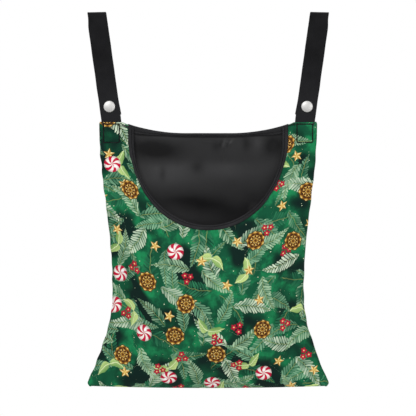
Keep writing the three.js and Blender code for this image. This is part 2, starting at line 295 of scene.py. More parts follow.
# A fern frond: leaflets slant forward from a bent stem, each of its own length and shade, and
# shorten towards its tip
def fern(add, under, local, tone, half, reach, spacing, bend, deep, pale):
    slant = 0.75
    spot = add("SeparateXYZ", local)
    x = spot.outputs[0]
    share = add("Math MULTIPLY", x, 0.5 / half)
    y = add("Math MULTIPLY_ADD", add("Math MULTIPLY", share, share), bend, spot.outputs[1])
    side = add("Math ABSOLUTE", y)
    root = add("Math MULTIPLY_ADD", side, -slant, x)
    beat = add("Math MULTIPLY", add("Math GREATER_THAN", y, 0), 0.5)
    beat = add("Math MULTIPLY_ADD", root, 1 / spacing, beat)
    own = add("TexWhiteNoise 1D", {"W": add("Math MULTIPLY_ADD", tone, 97, add("Math ROUND", beat))})
    left = add("MapRange", root, -half, half, 1, 0)
    length = add("Math MULTIPLY", add("Math POWER", left, 0.75), add("MapRange", left, 1, 0.8, 0.25, 1))
    length = add("Math MULTIPLY_ADD", length, add("MapRange", own, 0, 1, 0.86 * reach, reach), 0.05)
    along = add("Math DIVIDE", side, length)
    wave = add("Math PINGPONG", beat, 0.5)
    width = add("Math MULTIPLY_ADD", add("Math SUBTRACT", 1, along, use_clamp=True), along, 0.07)
    gap = add("Math MULTIPLY_ADD", add("Math POWER", width, 0.6), -0.8, wave)
    leaf = add("MapRange SMOOTHSTEP", gap, -0.06, 0.04, 1, 0)
    leaf = add("Math MULTIPLY", leaf, add("MapRange SMOOTHSTEP", along, 0.94, 1.0, 1, 0))
    mask = add("Math MULTIPLY", leaf, add("Math GREATER_THAN", root, -half))
    shade = add("Math MULTIPLY_ADD", tone, 0.5, add("Math MULTIPLY_ADD", along, 0.55, own))
    colour = add("Mix RGBA", add("MapRange", shade, 0.3, 1.7, 0, 1), deep, pale)
    under = add("Mix RGBA", mask, under, colour)
    stem = add("MapRange SMOOTHSTEP", side, 0.2, 0.6, 1, 0)
    inside = add("MapRange SMOOTHSTEP", add("Math ABSOLUTE", share), 0.42, 0.5, 1, 0)
    stem = add("Math MULTIPLY", add("Math MULTIPLY", stem, inside), 0.6)
    return add("Mix RGBA", stem, under, "#8f9a58")


# Each of the other motifs gives its mask and its colour. This is a pair of smooth oval leaves on
# one stalk, with a pale midrib
def leafPair(add, local, tone, half):
    spot = add("SeparateXYZ", local)
    out = add("Math ABSOLUTE", spot.outputs[0])
    share = add("Math MULTIPLY", out, 1 / half, use_clamp=True)
    y = add("Math MULTIPLY_ADD", add("Math MULTIPLY", share, share), half * 0.55, spot.outputs[1])
    belly = add("Math SINE", add("Math MULTIPLY", add("Math POWER", share, 0.8), math.pi))
    width = add("Math MULTIPLY_ADD", belly, half * 0.34, 0.02)
    side = add("Math ABSOLUTE", y)
    mask = add("MapRange SMOOTHSTEP", add("Math DIVIDE", side, width), 0.92, 1.04, 1, 0)
    veins = add("Math PINGPONG", add("Math MULTIPLY_ADD", side, -1, out), 1.2)
    shade = add("Math MULTIPLY_ADD", veins, 0.22, add("Math MULTIPLY_ADD", y, 1 / half, 0.35))
    shade = add("Math MULTIPLY_ADD", tone, 0.35, shade, use_clamp=True)
    colour = add("Mix RGBA", shade, "#2f7a35", "#c3d98a")
    colour = add("Mix RGBA", add("MapRange SMOOTHSTEP", side, 0.25, 0.6, 1, 0), colour, "#dbe6b4")
    return mask, colour


# A golden rosette of pointed petals in rings, brown between them
def rosette(add, local, tone, radius):
    petals, rings = 9, 3.2
    away, angle = roundPlace(add, local)
    turn = add("Math MULTIPLY", angle, petals / math.tau)
    lobe = add("Math PINGPONG", turn, 0.5)
    ring = add("Math MULTIPLY_ADD", lobe, 0.9, add("Math MULTIPLY", away, rings / radius))
    level = add("Math FLOOR", ring)
    within = add("Math FRACT", ring)
    petal = add("Math PINGPONG", add("Math MULTIPLY_ADD", level, 0.5, turn), 0.5)
    ramp = add("ValToRGB", add("Math MULTIPLY_ADD", petal, -1.7, within))
    stops = ramp.color_ramp.elements
    stops[0].position, stops[0].color = 0.0, fromHex("#4a2c14")
    stops[1].position, stops[1].color = 1.0, fromHex("#f6ecc8")
    for place, code in ((0.22, "#8a5a22"), (0.5, "#c99a3c"), (0.78, "#e8cd7c")):
        stops.new(place).color = fromHex(code)
    scallop = add("Math MULTIPLY_ADD", lobe, radius * 0.28, away)
    mask = add("MapRange SMOOTHSTEP", scallop, radius, radius * 1.05, 1, 0)
    return mask, ramp


# A round boiled sweet with red and white stripes that swirl out from its middle
def sweet(add, local, tone, radius):
    away, angle = roundPlace(add, local)
    stripe = add("Math MULTIPLY_ADD", angle, 6, add("Math MULTIPLY", away, 4.2 / radius))
    stripe = add("MapRange SMOOTHSTEP", add("Math SINE", stripe), -0.12, 0.12, 1, 0)
    colour = add("Mix RGBA", stripe, "#c2183a", "#f3ece6")
    colour = add("Mix RGBA", add("MapRange", away, radius * 0.72, radius, 0, 0.45), colour, "#6e1026")
    gleam = add("VectorMath DISTANCE", local, (-radius * 0.32, radius * 0.3, 0))
    gleam = add("MapRange SMOOTHSTEP", gleam, radius * 0.06, radius * 0.3, 1, 0)
    colour = add("Mix RGBA", gleam, colour, "#ffffff")
    mask = add("MapRange SMOOTHSTEP", away, radius, radius * 1.05, 1, 0)
    return mask, colour


# A five-pointed golden star whose points are shaded as if folded down their middles
def star(add, local, tone, radius):
    inner, sector = 0.46, math.pi / 5
    away, angle = roundPlace(add, local)
    folded = add("Math PINGPONG", angle, sector)
    near = add("Math SINE", folded)
    far = add("Math MULTIPLY", add("Math SINE", add("Math SUBTRACT", sector, folded)), inner)
    reach = add("Math DIVIDE", radius * inner * math.sin(sector), add("Math ADD", near, far))
    mask = add("MapRange SMOOTHSTEP", add("Math DIVIDE", away, reach), 0.93, 1.05, 1, 0)
    turn = add("Math FRACT", add("Math MULTIPLY", angle, 0.5 / sector))
    colour = add("Mix RGBA", add("MapRange SMOOTHSTEP", turn, 0.47, 0.53, 1, 0), "#a5752a", "#efd794")
    colour = add("Mix RGBA", add("MapRange SMOOTHSTEP", away, 0, radius * 0.5, 1, 0), colour, "#d8b35c")
    return mask, colour


# Three small red blossoms in a bunch, each with five petals and a yellow eye
def blossoms(add, local, tone, radius):
    sector = math.tau / 3
    away, angle = roundPlace(add, local)
    folded = add("Math SUBTRACT", add("Math FLOORED_MODULO", angle, sector), sector / 2)
    x = add("Math MULTIPLY_ADD", add("Math COSINE", folded), away, -radius * 1.12)
    y = add("Math MULTIPLY", add("Math SINE", folded), away)
    out = add("VectorMath LENGTH", add("CombineXYZ", x, y))
    petal = add("Math SINE", add("Math MULTIPLY", add("Math ARCTAN2", y, x), 2.5))
    reach = add("Math MULTIPLY_ADD", add("Math ABSOLUTE", petal), radius * 0.42, radius * 0.6)
    share = add("Math DIVIDE", out, reach)
    mask = add("MapRange SMOOTHSTEP", share, 0.9, 1.08, 1, 0)
    colour = add("Mix RGBA", share, "#d3304a", "#8e1226")
    eye = add("MapRange SMOOTHSTEP", out, radius * 0.14, radius * 0.26, 1, 0)
    colour = add("Mix RGBA", eye, colour, "#f2d98a")
    return mask, colour


weave = {"thread": 0.9 * mm, "depth": 0.05 * mm, "strength": 0.35}  # 0.45 mm would be too fine to show


# Height of a woven cloth's threads and of its warp, from where the point lay on the flat cloth
def weaveHeight(add, flat, thread, pick):
    turned = add("VectorMath MULTIPLY", flat, (math.pi / thread, math.pi / pick, math.pi / thread))
    spot = add("SeparateXYZ", turned)
    warp, weft = (add("Math SINE", spot.outputs[k]) for k in (0, 1))
    return add("Math MULTIPLY", warp, weft), warp


def startMaterial(name):
    material = bpy.data.materials.new(name)
    add = startTree(material)
    return material, add, add("UVMap", uv_map="cloth")


# The end of each material: its height as a bump, and its shader
def finishMaterial(material, add, colour, height, relief, look):
    bump = add("Bump", {"Strength": relief["strength"], "Distance": relief["depth"], "Height": height})
    add("OutputMaterial", add("BsdfPrincipled", {"Base Color": colour, "Normal": bump, **look}))
    return material


motifs = {"leafPair": leafPair, "rosette": rosette, "sweet": sweet, "star": star, "blossoms": blossoms}


# Printed polyester canvas, woven plain and dyed on one side: matt, with the print sunk into the threads
def makePrintedCanvas():
    material, add, flat = startMaterial("printedCanvas")
    p = printDesign
    where = add("VectorMath MULTIPLY", flat, (1 / mm,) * 3)
    mottle = add("TexNoise 2D", {"Vector": where, "Scale": 1 / p["mottle"], "Detail": 2.0, "Roughness": 0.5})
    cloud = add("TexNoise 2D", {"Vector": where, "Scale": 1 / p["cloud"], "Detail": 4.0, "Roughness": 0.6})
    patch = add("MapRange SMOOTHSTEP", mottle, 0.42, 0.62, 0, 1)
    streak = add("MapRange SMOOTHSTEP", cloud, 0.42, 0.7, 0, 1)
    colour = add("Mix RGBA", streak, p["ground"], p["groundLight"])
    colour = add("Mix RGBA", patch, colour, p["groundDark"])

    brush = add("TexNoise 2D", {"Vector": where, "Scale": 1 / p["brush"], "Detail": 1.0})
    bent = add("VectorMath MULTIPLY_ADD", brush.outputs["Color"], (p["brushShift"],) * 3, where)
    for cell, turn, shift, *shape in p["ferns"]:
        local, random = scatter(add, bent, cell, turn, shift, p["fernJitter"])
        colour = fern(add, colour, local, random.outputs[2], *shape)
    for cell, turn, shift, isBent, kinds in p["accents"]:
        local, random = scatter(add, bent if isBent else where, cell, turn, shift, p["accentJitter"])
        for name, size, comparison, limit in kinds:
            mask, motif = motifs[name](add, local, random.outputs[2], size)
            there = add("Math " + comparison, random.outputs[1], limit)
            colour = add("Mix RGBA", add("Math MULTIPLY", mask, there), colour, motif)

    specks = add("TexVoronoi 2D", {"Vector": where, "Scale": 1 / p["speckCell"], "Randomness": 1.0})
    size = add("SeparateColor", specks.outputs["Color"]).outputs[0]
    size = add("MapRange", size, 0.72, 1, 0, p["speck"] / p["speckCell"])
    dot = add("MapRange SMOOTHSTEP", add("Math SUBTRACT", specks, size), -0.02, 0.0, 1, 0)
    colour = add("Mix RGBA", dot, colour, "#d9e6c0")
    height, _ = weaveHeight(add, flat, weave["thread"], weave["thread"])
    look = {"Roughness": 0.85, "Specular IOR Level": 0.1, "Sheen Weight": 0.03, "Sheen Roughness": 0.5}
    return finishMaterial(material, add, colour, height, weave, look)


# Cloths dyed in one colour: between a dark and a pale shade, with the thread spacing, the height
# of the threads, how even the dye is, how strongly painted shade and highlights are laid on, and the gloss
dyedCloths = {
    "liningTaffeta": {  # calendered polyester: smooth, with a faint gloss that shows its folds
        "dark": "#050506", "pale": "#343435", "thread": 0.8 * mm, "depth": 0.03 * mm, "strength": 0.2,
        "spread": 1.3, "paintedShading": 0.7, "roughness": 0.34, "specular": 0.15, "twill": False,
    },
    "twillTape": {  # cotton twill, matt, with slanting ribs
        "dark": "#202021", "pale": "#323234", "thread": 1.3 * mm, "depth": 0.12 * mm, "strength": 0.5,
        "spread": 0.3, "paintedShading": 0, "roughness": 0.85, "specular": 0.05, "twill": True,
    },
}


def makeDyedCloth(name):
    material, add, flat = startMaterial(name)
    c = dyedCloths[name]
    if c["twill"]:
        spot = add("SeparateXYZ", flat)
        slant = add("Math ADD", spot.outputs[0], spot.outputs[1])
        height = add("Math SINE", add("Math MULTIPLY", slant, math.tau / c["thread"]))
    else:
        height, _ = weaveHeight(add, flat, c["thread"], c["thread"])
    dye = add("TexNoise", {"Vector": flat, "Scale": 1 / 0.045, "Detail": 3.0, "Roughness": 0.6})
    shade = add("Math MULTIPLY_ADD", height, 0.18, dye)
    shade = add("MapRange", shade, 0.5 - c["spread"], 0.5 + c["spread"], 0, 1)
    if c["paintedShading"]:  # painted shade where the lining's folds would be dark, painted highlights where they would be lit
        paintedShading = add("Attribute", attribute_name="paintedShading").outputs["Fac"]
        shade = add("Math MULTIPLY_ADD", paintedShading, c["paintedShading"], shade, use_clamp=True)
    colour = add("Mix RGBA", shade, c["dark"], c["pale"])
    look = {"Roughness": c["roughness"], "Specular IOR Level": c["specular"]}
    return finishMaterial(material, add, colour, height, c, look)


# Black polypropylene webbing: its yarns cross in a basket weave, with a dull plastic gloss
webbingYarn = {
    "yarn": 1.3 * mm, "pick": 1.7 * mm, "depth": 0.2 * mm, "strength": 0.5,
    "palerTowardsEnd": (0.03, 0.12, 0.75, 0),  # from one length to another, the webbing is paler by 0.75 down to none, towards its lower end
}


def makeWebbing():
    material, add, flat = startMaterial("polypropyleneWebbing")
    over, warp = weaveHeight(add, flat, webbingYarn["yarn"], webbingYarn["pick"])
    height = add("Math MULTIPLY_ADD", over, 0.45, add("Math ABSOLUTE", warp))
    wear = add("TexNoise", {"Vector": flat, "Scale": 1 / 0.02, "Detail": 4.0})
    shade = add("Math MULTIPLY_ADD", height, 0.25, wear)
    length = add("SeparateXYZ", flat).outputs[1]
    # the webbing's colour is made paler towards the lower end of its length
    palerTowardsEnd = add("MapRange SMOOTHSTEP", length, *webbingYarn["palerTowardsEnd"])
    shade = add("MapRange", add("Math ADD", shade, palerTowardsEnd), 0.3, 1.4, 0, 1)
    colour = add("Mix RGBA", shade, "#070708", "#1e1e20")
    look = {"Roughness": 0.62, "Specular IOR Level": 0.06}
    return finishMaterial(material, add, colour, height, webbingYarn, look)


platedNickel = {"mark": 0.7 * mm, "depth": 0.02 * mm, "strength": 0.08, "gloss": (0.46, 0.6)}
polyesterThread = {"twist": 1.1 * mm, "depth": 0.08 * mm, "strength": 0.4}


# Nickel-plated brass, pressed and barrel polished: a soft satin gloss with fine tumbling marks
def makeNickel():
    material, add, _ = startMaterial("platedNickel")
    place = add("TexCoord").outputs["Object"]
    marks = add("TexNoise", {"Vector": place, "Scale": 1 / platedNickel["mark"], "Detail": 4.0})
    gloss = add("MapRange", marks, 0.3, 0.7, *platedNickel["gloss"])
    tint = add("Mix RGBA", marks, "#a6a5a3", "#b6b5b3")
    return finishMaterial(material, add, tint, marks, platedNickel, {"Metallic": 1.0, "Roughness": gloss})


# Spun polyester sewing thread: two plies twist round each other
def makeThread():
    material, add, _ = startMaterial("polyesterThread")
    place = add("TexCoord").outputs["Object"]
    scale = 1 / polyesterThread["twist"] / 20
    twist = add("TexWave DIAGONAL", {"Vector": place, "Scale": scale, "Distortion": 0.4}).outputs["Fac"]
    colour = add("Mix RGBA", twist, "#08080a", "#171718")
    look = {"Roughness": 0.7, "Specular IOR Level": 0.12}
    return finishMaterial(material, add, colour, twist, polyesterThread, look)


printedCanvas = makePrintedCanvas()
liningTaffeta = makeDyedCloth("liningTaffeta")
twillTape = makeDyedCloth("twillTape")
webbingCloth = makeWebbing()
nickelPlate = makeNickel()
sewingThread = makeThread()
print("materials made")


# The pocket's form. Its corners and seam plane come from the frame; u runs from -1 to 1 across
# the pocket and v from 0 at the top edge to 1 at the bottom.

frontLow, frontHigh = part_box("front_panel")
webLow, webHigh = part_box("right_strap_sewn_end")

pocket = {
    "topHalf": 136 * mm, "waistHalf": 119.5 * mm, "bottomHalf": frontHigh.x,
    "waistShare": 0.62, "flareStartShare": 0.68, "flareEndShare": 0.985, "flarePower": 1.5,
    "top": frontHigh.z, "raised": 1.3 * mm, "sag": 2.6 * mm,
    "dip": 14.4 * mm, "dipFlatHalf": 30 * mm, "dipPower": 0.76,
    "seamY": (webLow.y + webHigh.y) / 2, "edgeHalf": 2.9 * mm,
    "depth": {front: 48 * mm, back: 28 * mm}, "peakPower": {front: 1.7, back: 1.45},
    "crossPower": 1.1, "fullnessPower": 0.9,
    "bow": {front: 0, back: 6 * mm}, "bowPower": 3, "openTopHalf": 104.05 * mm,
    "outerCloth": 0.8 * mm, "liningInset": 1.1 * mm, "liningCloth": 0.6 * mm,
    "wobble": 0.7 * mm, "wobbleFrom": (0.03, 0.12), "wobbleTo": (1.0, 0.93),
    "leftWobble": (31 * mm, 11), "rightWobble": (34 * mm, 12),  # length, seed
    "cornerRadius": 4.2 * mm, "shoulderRadius": 2.4 * mm,
}
pocket["bottom"] = frontLow.z + pocket["raised"] + pocket["sag"]
height = pocket["top"] - pocket["bottom"]
strapInnerEdge = webLow.x
strapMiddle = (webLow.x + webHigh.x) / 2


# How far a rounded corner draws the side in, at a distance from the panel's end
def drawnIn(away, radius):
    share = np.clip(1 - away / radius, 0, 1)
    return radius * (1 - np.sqrt(1 - share ** 2))


def halfWidth(v, hand=0):
    p = pocket
    ease = (1 + np.cos(np.pi * np.minimum(v, p["waistShare"]) / p["waistShare"])) / 2
    upper = p["waistHalf"] + (p["topHalf"] - p["waistHalf"]) * ease
    along = np.clip((v - p["flareStartShare"]) / (p["flareEndShare"] - p["flareStartShare"]), 0, 1)
    lower = p["waistHalf"] + (p["bottomHalf"] - p["waistHalf"]) * along ** p["flarePower"]
    free = smooth(v, *p["wobbleFrom"]) * smooth(v, *p["wobbleTo"])
    left, right = (ripple(v * height, *p[name]) for name in ("leftWobble", "rightWobble"))
    uneven = np.where(np.asarray(hand) < 0, left, right)
    corners = drawnIn((1 - v) * height, p["cornerRadius"]) + drawnIn(v * height, p["shoulderRadius"])
    return np.where(v < p["waistShare"], upper, lower) + p["wobble"] * uneven * free - corners


def topDip(x):
    along = np.clip((strapInnerEdge - np.abs(x)) / (strapInnerEdge - pocket["dipFlatHalf"]), 0, 1)
    return pocket["dip"] * np.sin(np.pi / 2 * along) ** pocket["dipPower"]


def swell(side, u, v):
    p = pocket
    across = np.maximum(0, 1 - u * u) ** p["crossPower"]
    down = np.maximum(0, np.sin(np.pi * np.clip(v, 0, 1) ** p["peakPower"][side])) ** p["fullnessPower"]
    openShare = np.minimum(1, np.abs(u) * p["topHalf"] / p["openTopHalf"])
    bow = p["bow"][side] * np.cos(np.pi / 2 * openShare) ** 2 * (1 - np.clip(v, 0, 1)) ** p["bowPower"]
    return p["depth"][side] * across * down + bow


creasing = {  # heights, the lengths of the waves, and how far in from the seams they reach
    "height": 0.75 * mm, "leftLength": 15 * mm, "length": 16 * mm, "seamClear": (0.3 * mm, 4 * mm),
    "sideReach": 8 * mm, "leastReach": 3 * mm, "reachLength": 50 * mm, "bottomReach": 10 * mm,
    "broad": {front: 1.4 * mm, back: 1.0 * mm}, "broadLengths": (88 * mm, 120 * mm),
    "broadFrom": (6 * mm, 40 * mm), "broadAbove": (6 * mm, 50 * mm), "broadBelow": (0.04, 0.25),
    "seed": {front: 20, back: 40}, "rightStart": 7,
}


# Short creases that run in from the seams, and the soft unevenness of full cloth
def creases(side, u, v):
    c = creasing
    seed = c["seed"][side]
    half = halfWidth(v, u)
    x, z = u * half, v * height
    fromSide, fromBottom = (1 - np.abs(u)) * half, (1 - v) * height
    alongSide = np.where(u < 0, ripple(z, c["leftLength"], seed), ripple(z, c["length"], seed + 1))
    alongBottom = ripple(x, c["length"], seed + 2)
    start = z + np.where(u < 0, 0, c["rightStart"])
    reach = c["sideReach"] * (1.2 + 0.6 * ripple(start, c["reachLength"], seed + 3))
    nearSide = np.exp(-fromSide / np.maximum(reach, c["leastReach"])) * smooth(fromSide, *c["seamClear"])
    nearBottom = np.exp(-fromBottom / c["bottomReach"]) * smooth(fromBottom, *c["seamClear"])
    short = alongSide * nearSide * smooth(v, 0.02, 0.1) + alongBottom * nearBottom
    lengthX, lengthZ = c["broadLengths"]
    broad = ripple(x + 0.35 * z, lengthX, seed + 4) * ripple(z - 0.25 * x, lengthZ, seed + 5)
    away = smooth(fromSide, *c["broadFrom"]) * smooth(v, *c["broadBelow"])
    away = away * smooth(fromBottom, *c["broadAbove"])
    return c["height"] * short + broad * c["broad"][side] * away


# The heights of the top edge and of the bottom edge across the pocket
def edgesAt(u):
    return pocket["top"] - topDip(u * pocket["topHalf"]), pocket["bottom"] - pocket["sag"] * (1 - u * u)


# A point of the pocket's face, taken in by inset; lift is its share of the height over the seam
def facePoint(side, u, v, inset=0.0, lift=1.0, crumple=1.0):
    top, bottom = edgesAt(u)
    rise = pocket["edgeHalf"] + swell(side, u, v) + creases(side, u, v) * crumple - inset
    x, y = u * (halfWidth(v, u) - inset), pocket["seamY"] + side * rise * lift
    return np.stack([x, y, top + (bottom - top) * v], -1)


def sharesAt(x, z):
    v = np.clip((pocket["top"] - z) / height, 0, 1)
    for _ in range(8):
        u = np.clip(x / halfWidth(v, x), -1, 1)
        top, bottom = edgesAt(u)
        v = np.clip((top - z) / (top - bottom), 0, 1)
    return u, v


# Where each point lay on the flat cloth: lengths along the face, across from its middle and down
# from its top, added up over a fine grid
flatSteps = 160


def flatTable(side):
    grid = facePoint(side, *np.meshgrid(np.linspace(-1, 1, flatSteps + 1), np.linspace(0, 1, flatSteps + 1)))
    across = runAlong(grid.swapaxes(0, 1))
    return np.stack([(across - across[flatSteps // 2]).T, -runAlong(grid)], -1)


# The four points of a line round each place from 0 to 1 along it, with their weights in a smooth curve
def fourRound(place, count):
    at = np.clip(place, 0, 1) * (count - 1)
    first = np.clip(np.floor(at).astype(int), 0, count - 2)
    a = at - first
    b, c = a * a, a ** 3
    weights = (-0.5 * a + b - 0.5 * c, 1 - 2.5 * b + 1.5 * c, 0.5 * a + 2 * b - 1.5 * c, 0.5 * c - 0.5 * b)
    return [(np.clip(first + k - 1, 0, count - 1), weight) for k, weight in enumerate(weights)]


# Reads a grid of values over the face between its points, smoothly
def sample(grid, u, v):
    rows, columns = fourRound(v, grid.shape[0]), fourRound((u + 1) / 2, grid.shape[1])
    return sum(grid[i, j] * (p * q)[..., None] for i, p in rows for j, q in columns)


flatTables = {side: flatTable(side) for side in (front, back)}

# How the edge of a panel rolls into the seam: shares of the roll's width, and of the height there
edgeRoll = {
    "width": 2.3 * mm, "steps": 6, "sewnFrom": (103 * mm, 105 * mm),
    "inShares": (1, 0.62, 0.32, 0.12, 0.01, 0.05, 0.3),
    "liftShares": (1, 0.96, 0.86, 0.68, 0.42, 0.17, 0.03),
}


# For a line of points with the roll's steps added: how far each is taken in, and its share of the height
def rolled(count, atStart=True):
    shares = []
    for name in ("inShares", "liftShares"):
        roll = np.array(edgeRoll[name])
        shares.append(np.concatenate([roll[:0:-1] if atStart else [], np.ones(count), roll[1:]]))
    return shares[0] * edgeRoll["width"], shares[1]


# Repeats a line's ends for the steps of the roll
def withRoll(line, atStart=True):
    return np.pad(line, (edgeRoll["steps"] if atStart else 0, edgeRoll["steps"]), mode="edge")


# The front's grid: rows run from the mouth to the outline, and step from the left shoulder round
# to the right one. Knots give how far round the outline and round the mouth each share of s is.
mouth = {
    "half": 92.5 * mm, "straight": 23 * mm, "drop": 105.5 * mm,  # of the opening inside the tape
    "clothGap": 0.9 * mm,  # from the opening's edge to the cloth's cut edge, inside the tape
    "knots": (0, 0.10, 0.37, 0.5), "outlineV": (0, 0.085, 1, 1), "bottomU": (-1, -1, -1, 0),
    "mouthAngles": (180, 180, 231, 270),
}


def mouthCurve(s, grow):
    half, drop = mouth["half"] + grow, mouth["drop"] + grow
    middle = pocket["top"] - mouth["straight"]
    folded = np.minimum(s, 1 - s)
    angle = np.radians(np.interp(folded, mouth["knots"], mouth["mouthAngles"]))
    x = half * np.cos(angle)
    top = pocket["top"] - topDip(half)
    straight = np.clip(1 - folded / mouth["knots"][1], 0, 1)
    z = middle + drop * np.sin(angle) + (top - middle) * straight
    return np.where(s > 0.5, -x, x), z


def frontShares(s, r, topRoll=0.0, sideRoll=0.0):
    folded = np.minimum(s, 1 - s)
    v = np.interp(folded, mouth["knots"], mouth["outlineV"])
    u = np.interp(folded, mouth["knots"], mouth["bottomU"])
    half = halfWidth(v, u)
    outerU = np.clip(u, sideRoll / half - 1, 0) * np.where(s > 0.5, -1, 1)
    outerV = np.clip(v, topRoll / height, 1 - sideRoll / height)
    innerU, innerV = sharesAt(*mouthCurve(s, mouth["clothGap"]))
    innerV = np.maximum(innerV, topRoll / height)
    return innerU + (outerU - innerU) * r, innerV + (outerV - innerV) * r


# A loose cloth that has grown a little and is held at its edges buckles into folds. The folds are
# kept and the even swelling that comes with them is taken out, as the pocket's form has its own.
buckling = {
    "frames": 26, "gravity": 0.25, "across": 64, "down": 76,
    "finest": 0.9, "broadest": 9,  # blurs in steps of the grid
    "heldFrom": (98 * mm, 104 * mm), "heldAbove": (0.13, 0.09), "heldRound": (1.04, 0.99),
    "cap": {front: 1.5 * mm, back: 1.0 * mm},
    "cloth": {
        "quality": 7, "mass": 0.2, "air_damping": 3, "tension_stiffness": 18, "compression_stiffness": 18,
        "shear_stiffness": 6, "bending_stiffness": 0.35, "vertex_group_mass": "held",
        "shrink_min": -0.03, "use_pressure": True, "uniform_pressure_force": 0.3,
    },
}


# Blurs a grid both ways by a bell curve whose width is in steps
def blurred(grid, width):
    reach = int(3 * width) + 1
    bell = np.exp(-0.5 * (np.arange(-reach, reach + 1) / width) ** 2)
    bell /= bell.sum()
    for axis in (0, 1):
        edges = [(reach, reach) if k == axis else (0, 0) for k in range(grid.ndim)]
        padded = np.pad(grid, edges, mode="edge")
        count = grid.shape[axis]
        grid = sum(weight * np.take(padded, range(k, k + count), axis=axis) for k, weight in enumerate(bell))
    return grid


def buckle(side):
    lines = (np.linspace(0, 1, buckling["down"] + 1), np.linspace(-1, 1, buckling["across"] + 1))
    v, u = np.meshgrid(*lines, indexing="ij")
    points = facePoint(side, u, v)
    held = np.where((np.abs(u) > 0.999) | (v > 0.999) | (v < 0.001), 1.0, 0.0)
    shoulders = smooth(np.abs(u) * halfWidth(v), *buckling["heldFrom"]) * smooth(v, *buckling["heldAbove"])
    held = np.maximum(held, shoulders)
    if side == front:  # above the mouth's edge there is no cloth, and its tape holds the edge
        x, z = points[..., 0], points[..., 2]
        below = np.minimum(z - pocket["top"] + mouth["straight"], 0)
        out = np.hypot(x / mouth["half"], below / mouth["drop"])
        held = np.maximum(held, smooth(out, *buckling["heldRound"]))
    faces = [face[::side] for face in gridFaces(*u.shape)]
    piece = meshPiece("slackCloth", points, faces, printedCanvas)
    group = piece.vertex_groups.new(name="held")
    for index, weight in enumerate(held.ravel()):
        if weight > 0:
            group.add([index], float(weight), "REPLACE")
    cloth = piece.modifiers.new("cloth", "CLOTH")
    for name, value in buckling["cloth"].items():
        setattr(cloth.settings, name, value)
    cloth.settings.effector_weights.gravity = buckling["gravity"]
    cloth.collision_settings.use_collision = False
    cloth.point_cache.frame_start = 1
    cloth.point_cache.frame_end = buckling["frames"]
    for step in range(1, buckling["frames"] + 1):
        scene.frame_set(step)
    evaluated = piece.evaluated_get(bpy.context.evaluated_depsgraph_get())
    moved = np.zeros(points.size)
    evaluated.data.vertices.foreach_get("co", moved)
    mesh = piece.data
    bpy.data.objects.remove(piece)
    bpy.data.meshes.remove(mesh)
    scene.frame_set(1)
    shift = moved.reshape(points.shape) - points
    folds = blurred(shift, buckling["finest"]) - blurred(shift, buckling["broadest"])
    folds *= ((1 - held) ** 0.5)[..., None]
    length = np.linalg.norm(folds, axis=-1, keepdims=True)
    cap = buckling["cap"][side]
    return folds * np.tanh(length / cap) * cap / np.maximum(length, 1e-9)


shifts = {side: buckle(side) for side in (front, back)}
print("cloth buckled")

# The box stitches, whose thread sinks into the cloth over the straps' sewn ends
boxStitch = {
    "halfWidth": 9.75 * mm, "halfHeight": 11.5 * mm, "below": 2.6 * mm,
    "groove": 0.9 * mm, "grooveWidth": 1.25 * mm, "puff": 0.5, "puffOver": 4 * mm,
    "uneven": 0.25 * mm, "unevenOver": 6 * mm, "wave": (9 * mm, 3),  # length, seed
}
boxMiddle = pocket["top"] - boxStitch["below"] - boxStitch["halfHeight"]


# The stitched frame sinks, and the cloth stands up a little between its rows
def quilting(x, z):
    dx = np.abs(np.abs(x) - strapMiddle) - boxStitch["halfWidth"]
    dz = np.abs(z - boxMiddle) - boxStitch["halfHeight"]
    beyond = np.hypot(np.maximum(dx, 0), np.maximum(dz, 0)) + np.minimum(np.maximum(dx, dz), 0)
    groove = np.exp(-(beyond / boxStitch["grooveWidth"]) ** 2)
    puff = boxStitch["puff"] * smooth(beyond, 0, -boxStitch["puffOver"])
    uneven = ripple(x * 2 + z, *boxStitch["wave"]) * smooth(beyond, boxStitch["unevenOver"], 0)
    return boxStitch["groove"] * (puff - groove) + boxStitch["uneven"] * uneven


# The tape draws the cloth into small ripples round the mouth
mouthRipples = {
    "height": 0.45 * mm, "round": 420 * mm, "length": 13 * mm, "seed": 5, "reach": 0.12, "endClear": 0.03,
}


def mouthRipple(s, r):
    m = mouthRipples
    near = np.exp(-r / m["reach"]) * smooth(np.minimum(s, 1 - s), 0.0, m["endClear"])
    return m["height"] * ripple(s * m["round"], m["length"], m["seed"]) * near


# A face's points with its folds, quilting and ripples, and where they lay on the flat cloth
def clothFace(side, u, v, lift, ripples):
    points = facePoint(side, u, v, lift=lift)
    points = points + sample(shifts[side], u, v) * np.asarray(lift)[..., None]
    points[..., 1] += side * (quilting(points[..., 0], points[..., 2]) + ripples) * lift
    return points, sample(flatTables[side], u, v)


def frontFace(s, r, topRoll=0.0, sideRoll=0.0, lift=1.0):
    return clothFace(front, *frontShares(s, r, topRoll, sideRoll), lift, mouthRipple(s, r))


backCut = (0.47, 0.19)  # the back is cut from another place on the printed cloth, in metres


def backFace(u, v, lift=1.0):
    points, flat = clothFace(back, u, v, lift, 0)
    return points, flat * (-1, 1) + backCut


clothSteps = {  # counts, with the places between which they lie where these are uneven
    "shoulder": 44, "side": 110, "bottom": 66, "out": 80, "finerOut": 0.92, "finerCorner": 1.5,
    "backAcross": 180, "backDown": ((0, 0.09, 1), (42, 140)),
    "liningAcross": ((-1, -0.05, 0.35, 1), (84, 90, 60)), "liningDown": ((0, 0.13, 0.5, 1), (56, 70, 50)),
}


